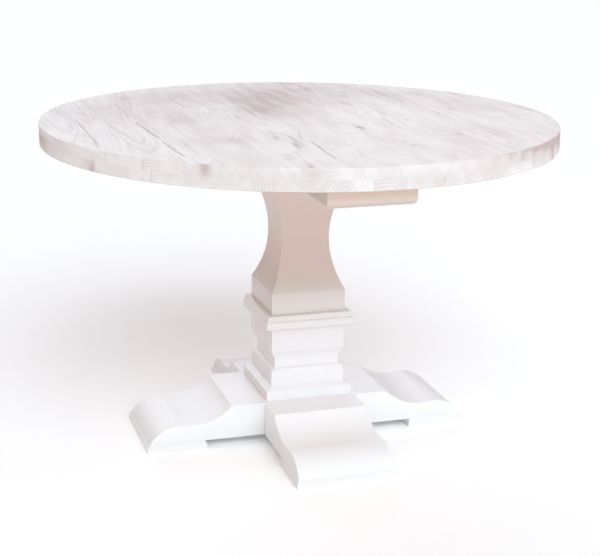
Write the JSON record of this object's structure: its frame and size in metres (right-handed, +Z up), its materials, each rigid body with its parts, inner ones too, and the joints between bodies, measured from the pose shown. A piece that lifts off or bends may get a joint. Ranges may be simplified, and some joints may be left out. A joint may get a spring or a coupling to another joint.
{
  "type": "round pedestal table",
  "caption": "Round dining table: a limewashed plank top on a white square hourglass pedestal with a cross of ogee feet.",
  "frame": {"origin": "middle of the footprint, on the floor", "axes": "+Z up, the front foot points to -Y, the staves of the top and the long bearer run along Y"},
  "size_m": [1.2, 1.2, 0.756],
  "materials": {
    "limewashed_timber": "brushed softwood, limewashed and sealed matt",
    "white_paint": "brush-painted white eggshell on timber",
    "zinc_steel": "zinc plated",
    "bare_beech": "bare turned dowel"
  },
  "bodies": {
    "root": {"upper_stave_01": "limewashed_timber", "upper_stave_02": "limewashed_timber", "upper_stave_03": "limewashed_timber", "upper_stave_04": "limewashed_timber", "upper_stave_05": "limewashed_timber", "upper_stave_06": "limewashed_timber", "upper_stave_07": "limewashed_timber", "upper_stave_08": "limewashed_timber", "upper_stave_09": "limewashed_timber", "upper_stave_10": "limewashed_timber", "upper_stave_11": "limewashed_timber", "upper_stave_12": "limewashed_timber", "upper_stave_13": "limewashed_timber", "upper_stave_14": "limewashed_timber", "upper_stave_15": "limewashed_timber", "upper_stave_16": "limewashed_timber", "upper_stave_17": "limewashed_timber", "lower_stave_01": "limewashed_timber", "lower_stave_02": "limewashed_timber", "lower_stave_03": "limewashed_timber", "lower_stave_04": "limewashed_timber", "lower_stave_05": "limewashed_timber", "lower_stave_06": "limewashed_timber", "lower_stave_07": "limewashed_timber", "lower_stave_08": "limewashed_timber", "lower_stave_09": "limewashed_timber", "lower_stave_10": "limewashed_timber", "lower_stave_11": "limewashed_timber", "lower_stave_12": "limewashed_timber", "lower_stave_13": "limewashed_timber", "lower_stave_14": "limewashed_timber", "lower_stave_15": "limewashed_timber", "long_bearer": "white_paint", "cross_bearer": "white_paint", "post_upper": "white_paint", "post_lower": "white_paint", "collar_front": "white_paint", "collar_right": "white_paint", "collar_back": "white_paint", "collar_left": "white_paint", "plinth_front": "white_paint", "plinth_right": "white_paint", "plinth_back": "white_paint", "plinth_left": "white_paint", "foot_beam_long": "white_paint", "foot_beam_cross": "white_paint", "pad_front": "white_paint", "pad_right": "white_paint", "pad_back": "white_paint", "pad_left": "white_paint", "tie_rod": "zinc_steel", "tie_nuts": "zinc_steel", "tie_washers": "zinc_steel", "top_screws": "zinc_steel", "head_screws": "zinc_steel", "base_screws": "zinc_steel", "pad_screws": "zinc_steel", "post_dowels": "bare_beech"}
  },
  "joints": []
}
